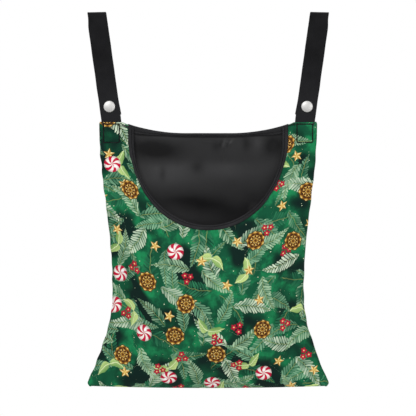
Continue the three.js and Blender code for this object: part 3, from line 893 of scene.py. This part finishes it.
# The cloth gets its thickness once points that fell together at its rolled corners are merged
def clothPiece(name, points, flat, paintedShading=None):
    lining = "lining" in name
    material = liningTaffeta if lining else printedCanvas
    piece = meshPiece(name, points, gridFaces(*points.shape[:2]), material, flat)
    # painted shade and highlights, stored on the points before they merge
    if paintedShading is not None:
        piece.data.attributes.new("paintedShading", "FLOAT", "POINT").data.foreach_set("value", paintedShading.ravel())
    editMesh(piece.data, lambda sheet: bmesh.ops.remove_doubles(sheet, verts=sheet.verts, dist=0.04 * mm))
    wall = piece.modifiers.new("thickness", "SOLIDIFY")
    wall.thickness = pocket["liningCloth" if lining else "outerCloth"]
    wall.offset = -1
    wall.use_even_offset = False
    return piece


# Moves a face inward to where the lining lies
def liningFace(points):
    normals = unit(np.cross(np.gradient(points, axis=0), np.gradient(points, axis=1)))
    return points + normals * pocket["liningInset"]


def frontRows():
    _, shoulder, corner, middle = mouth["knots"]
    side, bottom = (1 - (1 - np.linspace(0, 1, clothSteps[part], endpoint=False)) ** clothSteps["finerCorner"]
                    for part in ("side", "bottom"))
    rows = np.concatenate([
        np.linspace(0, shoulder, clothSteps["shoulder"], endpoint=False),
        shoulder + (corner - shoulder) * side,
        middle - (middle - corner) * np.append(1, bottom[:0:-1]),
    ])
    return np.concatenate([rows, [middle], 1 - rows[::-1]])


def makeFrontCloth():
    rows = frontRows()
    across = np.linspace(0, 1, clothSteps["out"]) ** clothSteps["finerOut"]
    topIn, topLift = (shares[:, None] for shares in rolled(len(rows)))
    sideIn, sideLift = rolled(len(across), atStart=False)
    s, r = np.meshgrid(withRoll(rows), withRoll(across, atStart=False), indexing="ij")
    return clothPiece("front_cloth", *frontFace(s, r, topIn, sideIn, topLift * sideLift))


def makeFrontLining():
    s, r = np.meshgrid(frontRows(), np.linspace(0, 1, clothSteps["out"]), indexing="ij")
    points, flat = frontFace(s, r, edgeRoll["width"], edgeRoll["width"])
    return clothPiece("front_lining_cloth", liningFace(points), flat)


def makeBackCloth():
    u = np.linspace(-1, 1, clothSteps["backAcross"])
    v = unevenSteps(*clothSteps["backDown"])
    sideIn, sideLift = rolled(len(u))
    endIn, endLift = (shares[:, None] for shares in rolled(len(v)))
    rows = withRoll(v)[:, None]
    half = halfWidth(rows)
    limit = 1 - sideIn / half
    gridU = np.clip(withRoll(u) + 0 * half, -limit, limit)
    # only the shoulders' top edges roll into the seam; between them the cloth runs up into its tape
    sewn = smooth(np.abs(gridU) * half, *edgeRoll["sewnFrom"])
    atTop = (np.arange(len(rows)) < len(rows) // 2)[:, None]
    taken = endIn * np.where(atTop, sewn, 1) / height
    gridV = np.clip(rows + 0 * gridU, taken * atTop, 1 - taken * ~atTop)
    lift = np.where(atTop, 1 + (endLift - 1) * sewn, endLift)
    return clothPiece("back_cloth", *backFace(gridU, gridV, lift * sideLift))


# The hem along the back's free edge is broad at its ends and turned well over in its middle
rim = {
    "half": 100 * mm, "steps": 260, "wide": 1.3, "narrow": 0.45, "narrowTo": 48 * mm, "reach": 6.4 * mm,
    "thicker": 1.6,  # than the mouth's tape, on the inside
    "stitchMoved": ((-2, 0, 1.3, 1.9, 2.6, 6.4), (-2, 0, 4.1, 4.7, 5.4, 6.4)),  # towards its lower edge
}


def rimShare(x):
    return rim["narrow"] + (rim["wide"] - rim["narrow"]) * smooth(np.abs(x), rim["narrowTo"], rim["half"])


# The back lining hangs a little slack, in soft folds and hollows: the middle of each (x, z), its
# reach along and across its own line, how that line is turned in degrees, and how far it stands
# into the pocket, in millimetres and less than nothing for a hollow
liningSlack = {
    "atHem": 1.5 * mm, "stand": 2.0 * mm, "rise": 18 * mm,
    "folds": [
        (-66, -155, 32, 9, -3, 1.6), (-62, -180, 34, 9, -4, -2.6), (-50, -215, 44, 19, 3, 2.4),
        (-62, -195, 5, 8, 0, 0.7), (-26, -188, 8, 10, 0, 0.8),
        (20, -181, 38, 7, 0, -1.1), (38, -206, 34, 14, -8, 1.4), (-1, -157, 12, 1.3, -4, 0.4),
        (46, -162, 5, 9, 4, 0.6), (54.5, -164, 5, 9, 4, -0.6), (64, -163, 14, 20, -6, 1.2),
        (97, -162, 14, 22, 0, -2.6), (-97, -164, 12, 18, 10, -2.4), (72, -198, 18, 12, 30, 1.3),
        (93, -147, 7, 12, 0, -3.0), (-93, -147, 7, 12, 0, -3.0),
        (-20, -238, 36, 13, -12, -1.8), (30, -230, 14, 24, 32, 1.5), (56, -240, 12, 24, 30, -1.6),
        (17.5, -173, 1.8, 12, 2, 0.5),
        (16.5, -160, 1.9, 6, 26, 0.65), (19.8, -162, 1.7, 7, 3, 0.8), (23.2, -160, 1.8, 6.5, -26, 0.65),
        (28, -159, 1.8, 6, -50, 0.7), (21, -156, 1.7, 7, 68, 0.5),
    ],
    "paintedShading": [  # places and reaches as above, then from -1, painted shade as in a hollow, to 1, a painted highlight as on a lit fold
        (-66, -166, 30, 12, -3, -1.1), (-50, -197, 36, 14, 3, 0.8), (-57, -196, 4, 8, 0, -0.8),
        (-14, -189, 8, 8, 0, -0.7), (24, -193, 36, 10, 0, 0.5), (81, -161, 12, 13, 0, -1.0),
        (47, -158, 5, 9, 4, -0.6), (62, -158, 6, 12, 0, 0.4), (-60, -149, 26, 4, -3, 0.3),
        (10, -162, 5, 6, 0, -0.4), (0, -235, 50, 14, 0, -0.6), (20, -157.5, 1.3, 5.5, -19, 0.6),
        (28, -156, 1.4, 5, -43, 0.5), (24.5, -159, 1.5, 5, -30, -0.5), (16, -158, 2.2, 5, -12, -0.4),
    ],
    "uneven": 0.35 * mm,
    "seam": (0.8, 1.1, -2.0),  # how far below the hem its painted shadow line runs, how broad, how dark
    "sewnDown": 1.8 * mm, "sewnFrom": (98 * mm, 102 * mm),  # it stays below the shoulders' top edges
    "freeFrom": (0.0, 0.12), "freeTo": (0.97, 0.8),
}


# The sum of soft bumps, each longer one way than the other
def bumps(x, z, kinds):
    total = 0 * x
    for middleX, middleZ, along, across, turn, amount in kinds:
        dx, dz = x / mm - middleX, z / mm - middleZ
        cos, sin = math.cos(math.radians(turn)), math.sin(math.radians(turn))
        run, aside = dx * cos + dz * sin, dz * cos - dx * sin
        total += amount * np.exp(-(run / along) ** 2 - (aside / across) ** 2)
    return total


def slackDepth(x, z):
    uneven = liningSlack["uneven"] * ripple(x + 0.4 * z, 38 * mm, 81) * ripple(z - 0.3 * x, 46 * mm, 82)
    fold = uneven + bumps(x, z, liningSlack["folds"]) * mm
    return liningSlack["stand"] * (1 + np.tanh(fold / liningSlack["stand"]))


def makeBackLining():
    u = unevenSteps(*clothSteps["liningAcross"])
    v = unevenSteps(*clothSteps["liningDown"])[:, None]
    limit = 1 - edgeRoll["width"] / halfWidth(v)
    gridU = np.clip(u + 0 * v, -limit, limit)
    down = smooth(np.abs(gridU) * pocket["topHalf"], *liningSlack["sewnFrom"]) * liningSlack["sewnDown"]
    gridV = np.clip(v + 0 * gridU, down / height, 1 - edgeRoll["width"] / height)
    outer, flat = backFace(gridU, gridV)
    points = facePoint(back, gridU, gridV, pocket["liningInset"], crumple=0.0)
    x, z = points[..., 0], points[..., 2]
    belowHem = gridV * height - rimShare(x) * rim["reach"]
    hung = smooth(belowHem, -2 * mm, liningSlack["rise"])
    depth = liningSlack["atHem"] * (1 - hung) + slackDepth(x, z) * hung
    free = smooth(1 - np.abs(gridU), *liningSlack["freeFrom"]) * smooth(gridV, *liningSlack["freeTo"])
    # it stands forward of the back cloth's own creases
    points[..., 1] = np.minimum(points[..., 1] - depth * free, liningFace(outer)[..., 1])
    # painted shade and painted highlights in soft patches where the folds would be dark or lit, and a painted
    # shadow in a line just under the hem
    below, broad, dark = liningSlack["seam"]
    paintedShading = bumps(x, z, liningSlack["paintedShading"]) + dark * np.exp(-((belowHem / mm - below) / broad) ** 2)
    return clothPiece("back_lining_cloth", points, flat, paintedShading)


cloths = {
    "front_panel": makeFrontCloth(), "front_lining": makeFrontLining(),
    "back_panel": makeBackCloth(), "back_lining": makeBackLining(),
}
for node, piece in cloths.items():
    settle(piece, "bag", "lining_cloth" if "lining" in node else "printed_cloth", node)
print("cloth made")


# Folded tapes: (distance in from the cloth's edge, height over its face) round the section, in
# millimetres. The outer leaf dips at its stitches, and the fold is soft.
tape = {
    "outside": ((6.3, 0.3), (6.35, 0.75), (6.0, 1.15), (5.0, 1.4), (3.4, 1.35), (2.5, 1.05), (2.15, 0.35),
                (1.9, 0.15), (1.65, 0.35), (1.3, 1.0), (0.6, 1.2), (0.0, 0.95), (-0.55, 0.4), (-0.95, -0.3),
                (-1.05, -0.9), (-0.95, -1.5), (-0.55, -2.15), (0.1, -2.65), (1.2, -2.8), (1.65, -2.3),
                (1.9, -2.15), (2.15, -2.3), (2.6, -2.8), (4.0, -2.95), (5.6, -2.85), (6.4, -2.6),
                (6.5, -2.05)),
    "inside": ((4.5, -2.02), (1.5, -2.02), (0.3, -1.9), (-0.3, -1.45), (-0.42, -0.9), (-0.3, -0.25),
               (0.3, 0.2), (1.5, 0.28), (4.5, 0.28)),
    "stitchAt": 1.9, "stitchHeight": 0.15, "innerStitchHeight": -2.15,
    "steps": 420, "ripple": 0.12, "rippleLength": 8 * mm,
}


# Points and normals of a face at a distance in from its open edge, or straight on beyond it
def faceAtEdge(face, line, inward, share, turn):
    little = 0.02
    edge, _ = face(line, 0 * line)
    further, _ = face(line, 0 * line + little)
    span = np.linalg.norm(further - edge, axis=-1) / little
    points, _ = face(line, max(inward, 0) * share / span)
    down = unit(further - edge)
    normals = turn * unit(np.cross(down, np.gradient(edge, axis=0)))
    return points + down * min(inward, 0), normals


def mouthFaceAt(inward):
    return faceAtEdge(frontFace, np.linspace(0, 1, tape["steps"]), inward, 1, 1)


def rimFaceAt(inward):
    x = np.linspace(-rim["half"], rim["half"], rim["steps"])
    return faceAtEdge(backFace, x / halfWidth(0 * x), inward, rimShare(x), -1)


def foldedTape(name, node, faceAt, section, length, seed):
    grid, flat = [], []
    girth, previous = 0.0, section[0]
    for inward, rise in section:
        points, normals = faceAt(inward * mm)
        along = np.linspace(0, length, len(points))
        puff = tape["ripple"] * ripple(along, tape["rippleLength"], seed) * (0.5 + 0.5 * np.cos(inward))
        grid.append(points + normals * (rise * mm * (1 + puff * (rise > 0.4)))[:, None])
        girth += math.dist(previous, (inward, rise)) * mm
        previous = (inward, rise)
        flat.append(np.stack([np.full(len(points), girth), runAlong(points)], -1))
    faces = tubeFaces(len(points), len(section))
    piece = meshPiece(name, np.stack(grid, 1), faces, twillTape, np.stack(flat, 1), closed=True)
    settle(piece, "bag", "binding_tape", node)


section = tape["outside"] + tape["inside"]
rimSection = [(float(np.interp(inward, *rim["stitchMoved"])), rise * rim["thicker"] if rise < -1 else rise)
              for inward, rise in section]
foldedTape("mouth_tape", "mouth_binding", mouthFaceAt, section, 360 * mm, 61)
foldedTape("rim_tape", "rim_binding", rimFaceAt, rimSection, 200 * mm, 62)
print("tapes made")


# Rows of stitches along a path, by geometry nodes

stitching = {
    "tape": {"Pitch": 3.0 * mm, "Stitch": 2.5 * mm, "Thread": 0.32 * mm, "Arch": 0.45 * mm},
    "box": {"Pitch": 2.6 * mm, "Stitch": 2.7 * mm, "Thread": 0.74 * mm, "Arch": 0.8 * mm},
    "boxSteps": 160, "standOff": {"tape": 0.1 * mm, "box": 0.3 * mm},
}


def makeStitchTree():
    tree = bpy.data.node_groups.new("stitchRow", "GeometryNodeTree")
    given = ("Path", "Geometry"), *((name, "Float") for name in stitching["tape"]), ("Material", "Material")
    for name, kind in given:
        tree.interface.new_socket(name, in_out="INPUT", socket_type="NodeSocket" + kind)
    tree.interface.new_socket("Stitches", in_out="OUTPUT", socket_type="NodeSocketGeometry")
    add = startTree(tree)
    path, pitch, stitch, thread, arch, material = add("NodeGroupInput").outputs[:6]
    curve = add("GeometryNodeMeshToCurve", path)
    spaced = add("GeometryNodeResampleCurve", {"Curve": curve, "Length": pitch}, mode="LENGTH")
    up = add("GeometryNodeInputNamedAttribute", {"Name": "up"}, data_type="FLOAT_VECTOR")
    ahead = add("GeometryNodeInputTangent")
    turned = add("FunctionNodeAxesToRotation", up, ahead, primary_axis="Z", secondary_axis="X")
    under = add("Math MULTIPLY", thread, -1.0)
    start, end = (add("CombineXYZ", add("Math MULTIPLY", stitch, half), 0.0, under) for half in (-0.5, 0.5))
    bow = add("GeometryNodeCurveQuadraticBezier", 6, start, add("CombineXYZ", 0.0, 0.0, arch), end)
    ring = add("GeometryNodeCurvePrimitiveCircle", {"Resolution": 6, "Radius": thread})
    tube = add("GeometryNodeCurveToMesh", {"Curve": bow, "Profile Curve": ring, "Fill Caps": True})
    placed = add("GeometryNodeInstanceOnPoints", {"Points": spaced, "Instance": tube, "Rotation": turned})
    real = add("GeometryNodeRealizeInstances", placed)
    add("NodeGroupOutput", add("GeometryNodeSetMaterial", {"Geometry": real, "Material": material}))
    return tree


stitchTree = makeStitchTree()


def stitchRow(name, paths, kind, closed):
    verts, ups, edges = [], [], []
    for points, normals in paths:
        first, count = len(verts), len(points)
        verts += points.tolist()
        ups += normals.tolist()
        edges += [(first + k, first + (k + 1) % count) for k in range(count if closed else count - 1)]
    mesh = bpy.data.meshes.new(name)
    mesh.from_pydata(verts, edges, [])
    mesh.attributes.new("up", "FLOAT_VECTOR", "POINT").data.foreach_set("vector", np.ravel(ups))
    line = bpy.data.objects.new(name + "_path", mesh)
    scene.collection.objects.link(line)
    modifier = line.modifiers.new("stitches", "NODES")
    modifier.node_group = stitchTree
    values = {"Material": sewingThread, **stitching[kind]}
    for item in stitchTree.interface.items_tree:
        if item.in_out == "INPUT" and item.name in values:
            modifier[item.identifier] = values[item.name]
    line.update_tag()
    evaluated = line.evaluated_get(bpy.context.evaluated_depsgraph_get())
    made = bpy.data.meshes.new_from_object(evaluated)
    bpy.data.objects.remove(line)
    made.name = name
    made.polygons.foreach_set("use_smooth", [True] * len(made.polygons))
    row = bpy.data.objects.new(name, made)
    scene.collection.objects.link(row)
    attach(row, "bag")
    return row


def tapeStitches(name, faceAt, at, trim):
    paths = []
    for rise, way in ((tape["stitchHeight"], 1), (tape["innerStitchHeight"], -1)):
        points, normals = faceAt(at * mm)
        points = points + normals * (rise * mm + stitching["standOff"]["tape"] * way)
        paths.append((points[trim:-trim], normals[trim:-trim] * way))
    stitchRow(name, paths, "tape", False)


def boxStitches(name, hand):
    steps = np.linspace(0, 4, stitching["boxSteps"], endpoint=False)
    x = hand * strapMiddle + boxStitch["halfWidth"] * np.interp(steps, range(5), (-1, 1, 1, -1, -1))
    z = boxMiddle + boxStitch["halfHeight"] * np.interp(steps, range(5), (1, 1, -1, -1, 1))
    paths = []
    for side in (front, back):
        points = facePoint(side, *sharesAt(x, z))
        points[:, 1] += side * (quilting(x, z) + stitching["standOff"]["box"])
        paths.append((points, 0 * points + (0, side, 0)))
    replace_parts(stitchRow(name + "_box_stitches", paths, "box", True), name + "_box_stitch")


tapeStitches("mouth_stitches", mouthFaceAt, tape["stitchAt"], 4)
tapeStitches("rim_stitches", rimFaceAt, float(np.interp(tape["stitchAt"], *rim["stitchMoved"])), 3)
for name, hand in sides.items():
    boxStitches(name, hand)
print("stitches made")


# The straps

strap = {
    "rise": -pocket["top"], "lean": math.radians(8), "lineRadius": 4 * mm,
    "width": webHigh.x - webLow.x, "thickness": webHigh.y - webLow.y,
    "sewn": webHigh.z - webLow.z, "bend": 10 * mm, "kink": 6 * mm, "setBackTo": 40 * mm,
    "bow": 0.8 * mm, "bowBetween": (34 * mm, 70 * mm),
    "snapRise": 19.55 * mm, "tailPastSnap": 11.4 * mm, "tailFlatTo": 29.8 * mm, "tailMiddle": 6.1 * mm,
    "tailAside": 0.9 * mm, "asideFrom": 8 * mm, "tailStart": 0.17,  # along the flat webbing, in metres
    "splitAngle": math.radians(150),  # round the crown, where the tail's piece takes over
    "hingeAbove": 2.2 * mm, "hingeBelow": 7 * mm,
    "step": 1.6 * mm, "level": 0.85, "levelOver": 30 * mm, "drawn": 1.3 * mm, "drawnOver": 15 * mm,
    "edgeThicker": 0.07, "narrower": 0.25 * mm, "unevenLength": 37 * mm,
}
crownRadius = strap["lineRadius"] + strap["thickness"] / 2
crownRise = strap["rise"] / math.cos(strap["lean"])


# The outline of a webbing's section as (across, out), thicker at the woven edge
def webSection():
    thick = strap["thickness"] / 2
    flatHalf = strap["width"] / 2 - thick
    outline = []
    for way in (1, -1):
        for share in np.linspace(-way, way, 17):
            thinner = strap["edgeThicker"] * (1 - smooth(abs(share), 0.82, 0.95))
            outline.append((share * flatHalf, way * thick * (1 - thinner)))
        for k in range(1, 6):
            angle = way * math.pi / 2 - math.pi * k / 6
            outline.append((way * flatHalf + thick * math.cos(angle), thick * math.sin(angle)))
    return np.array(outline)


# Sweeps the section along middles; across and out are unit vectors at each
def sweepWeb(name, hand, start, middles, across, out, rises):
    outline = webSection()
    wide = outline[:, 0]
    lengths = start + runAlong(middles)
    pull = 1 - strap["narrower"] / strap["width"] * (1 + ripple(lengths, strap["unevenLength"], 71))
    # near the crown the outer edge is drawn in
    drawn = strap["drawn"] * smooth(rises, crownRise - strap["drawnOver"], crownRise)
    outer = np.maximum(hand * wide / strap["width"] * 2, 0) * hand
    shares = wide * pull[:, None] - outer * drawn[:, None]
    points = middles[:, None] + across[:, None] * shares[..., None] + out[:, None] * outline[:, 1:]
    flat = np.stack(np.broadcast_arrays(wide, lengths[:, None]), -1)
    faces = tubeFaces(*points.shape[:2])
    piece = meshPiece(name, points, faces, webbingCloth, flat, math.radians(50), closed=True)
    return piece


def strapFrame(hand):
    sin, cos = hand * math.sin(strap["lean"]), math.cos(strap["lean"])
    base = (hand * strapMiddle, pocket["seamY"], pocket["top"])
    return (np.array(vector) for vector in (base, (sin, 0, cos), (cos, 0, -sin), (0, 1.0, 0)))


# The webbing leans, but lies level over the line: its threads shear a little near the crown
def levelled(across, rises):
    share = strap["level"] * smooth(rises, crownRise - strap["levelOver"], crownRise)[:, None]
    return unit(across * (1 - share) + share * (1.0, 0, 0))


# Round the line: the webbing's middles and its outward directions at angles from the front leg
def crownArc(hand, angles):
    base, along, _, rear = strapFrame(hand)
    out = along * np.sin(angles)[:, None] - rear * np.cos(angles)[:, None]
    return base + along * crownRise + rear * crownRadius + out * crownRadius, out


def strapLeg(name, hand):
    base, along, across, rear = strapFrame(hand)
    top = base + along * crownRise
    # up from the shoulder: the lean comes in over a short soft kink
    rises = np.append(np.arange(-strap["sewn"], crownRise, strap["step"]), crownRise)
    lean = strap["lean"] * smooth(rises, -strap["kink"], strap["kink"])
    between, steps = (lean[1:] + lean[:-1]) / 2, np.diff(rises)
    x = base[0] + hand * np.append(0, (np.sin(between) * steps).cumsum())
    z = base[2] - strap["sewn"] + np.append(0, (np.cos(between) * steps).cumsum())
    # the soft kink cuts its corner, so the leg is set back onto its line at the top
    share = smooth(rises, 0, strap["setBackTo"])
    x, z = x + (top[0] - x[-1]) * share, z + (top[2] - z[-1]) * share
    # the leg bows a little between the line and the bag, as webbing does
    bow = np.sin(np.pi * np.clip(rises / crownRise, 0, 1)) * smooth(rises, *strap["bowBetween"])
    leg = np.stack([x, base[1] - strap["bow"] * bow, z], -1)
    legAcross = np.stack([np.cos(lean), 0 * lean, -hand * np.sin(lean)], -1)
    crown, crownOut = crownArc(hand, np.linspace(0, strap["splitAngle"], 22)[1:])
    rises = np.append(rises, np.full(len(crown), crownRise))
    acrosses = levelled(np.concatenate([legAcross, across + 0 * crown]), rises)
    middles, outs = np.concatenate([leg, crown]), np.concatenate([-rear + 0 * leg, crownOut])
    piece = sweepWeb(name + "_strap_webbing", hand, 0, middles, acrosses, outs, rises)
    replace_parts(piece, name + "_strap_sewn_end", name + "_strap_bend", name + "_strap_loop")
    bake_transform(piece)


def strapTail(name, hand):
    base, along, across, rear = strapFrame(hand)
    crown, crownOut = crownArc(hand, np.linspace(strap["splitAngle"], math.pi, 6))
    low = strap["snapRise"] - strap["tailPastSnap"]
    rises = np.append(np.arange(crownRise, low, -strap["step"])[1:], low)
    spread = (2 * crownRadius - strap["tailMiddle"]) * smooth(rises, strap["tailFlatTo"], crownRise)
    behind = (strap["tailMiddle"] + spread)[:, None]
    aside = strap["tailAside"] * smooth(rises, strap["snapRise"] + strap["asideFrom"], low)[:, None]
    tail = base + along * rises[:, None] + rear * behind - hand * across * aside
    middles = np.concatenate([crown, tail])
    rises = np.append(np.full(len(crown), crownRise), rises)
    acrosses = levelled(across + 0 * middles, rises)
    outs = np.cross(unit(np.gradient(middles, axis=0)), acrosses)
    outs *= np.sign(outs @ rear)[:, None]
    outs[:len(crown)] = crownOut
    piece = sweepWeb(name + "_tail_webbing", hand, strap["tailStart"], middles, acrosses, outs, rises)
    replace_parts(piece, name + "_strap_tail")
    hinge = base + along * crownRise + rear * 2 * crownRadius
    start, end = hinge + along * strap["hingeAbove"], hinge - along * strap["hingeBelow"]
    tuple(start)
    tuple(end)
    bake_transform(piece)


# The press studs: (radius, distance behind the front leg's middle) in millimetres
snap = {
    "steps": 56,
    "bodies": {"cap": "_strap", "socket": "_strap", "stud": "_tail", "post": "_tail"},
    "cap": ((0, -3.60), (1.5, -3.56), (3.0, -3.43), (4.4, -3.2), (5.3, -2.98), (5.55, -2.86), (5.85, -2.9),
            (6.4, -2.76), (6.9, -2.45), (7.18, -2.1), (7.25, -1.75), (7.15, -1.4), (6.9, -1.2),
            (1.5, -1.2), (1.5, 1.6), (0, 1.6)),
    "socket": ((1.8, 1.2), (4.9, 1.2), (5.2, 1.35), (5.25, 1.7), (5.25, 2.9), (5.1, 3.35), (4.7, 3.7),
               (4.1, 3.8), (3.5, 3.72), (2.9, 3.8), (2.6, 3.7), (2.6, 1.9), (1.8, 1.9)),
    "stud": ((0, 2.2), (1.5, 2.22), (2.0, 2.42), (2.3, 2.85), (2.25, 3.4), (1.95, 4.0), (2.1, 4.1),
             (4.6, 4.1), (4.95, 4.25), (5.0, 4.5), (4.9, 4.8), (4.6, 4.9), (1.5, 4.9), (1.5, 2.85),
             (0, 2.85)),
    "post": ((0, 3.15), (0.95, 3.15), (1.2, 3.4), (1.2, 7.3), (4.9, 7.3), (5.2, 7.5), (5.25, 7.8), (5.1, 8.1),
             (4.65, 8.3), (2.7, 8.3), (2.3, 8.22), (1.9, 7.98), (0, 7.95)),
}


# Turns a profile about the stud's axis, which runs straight back through the webbing
def turned(name, profile, centre):
    angles = math.tau * np.arange(snap["steps"]) / snap["steps"]
    points, rings = [], []
    for radius, behind in profile:
        ring = angles if radius else angles[:1]
        rings.append([len(points) + k % len(ring) for k in range(len(angles) + 1)])
        points += [centre + np.array([radius * math.cos(a), behind, radius * math.sin(a)]) * mm for a in ring]
    if profile[0][0] > 0:  # a hollow one closes on itself
        rings.append(rings[0])
    faces = []
    for one, two in zip(rings, rings[1:]):
        faces += [list(dict.fromkeys(corners)) for corners in zip(one, one[1:], two[1:], two)]
    return meshPiece(name, points, faces, nickelPlate, sharpAngle=math.radians(38), closed=True)


for name, hand in sides.items():
    strapLeg(name, hand)
    strapTail(name, hand)
    base, along, *_ = strapFrame(hand)
    for part, body in snap["bodies"].items():
        node = name + "_snap_" + part
        stud = turned(node + "_metal", snap[part], base + along * strap["snapRise"])
        settle(stud, name + body, "nickel", node)
print("straps made")
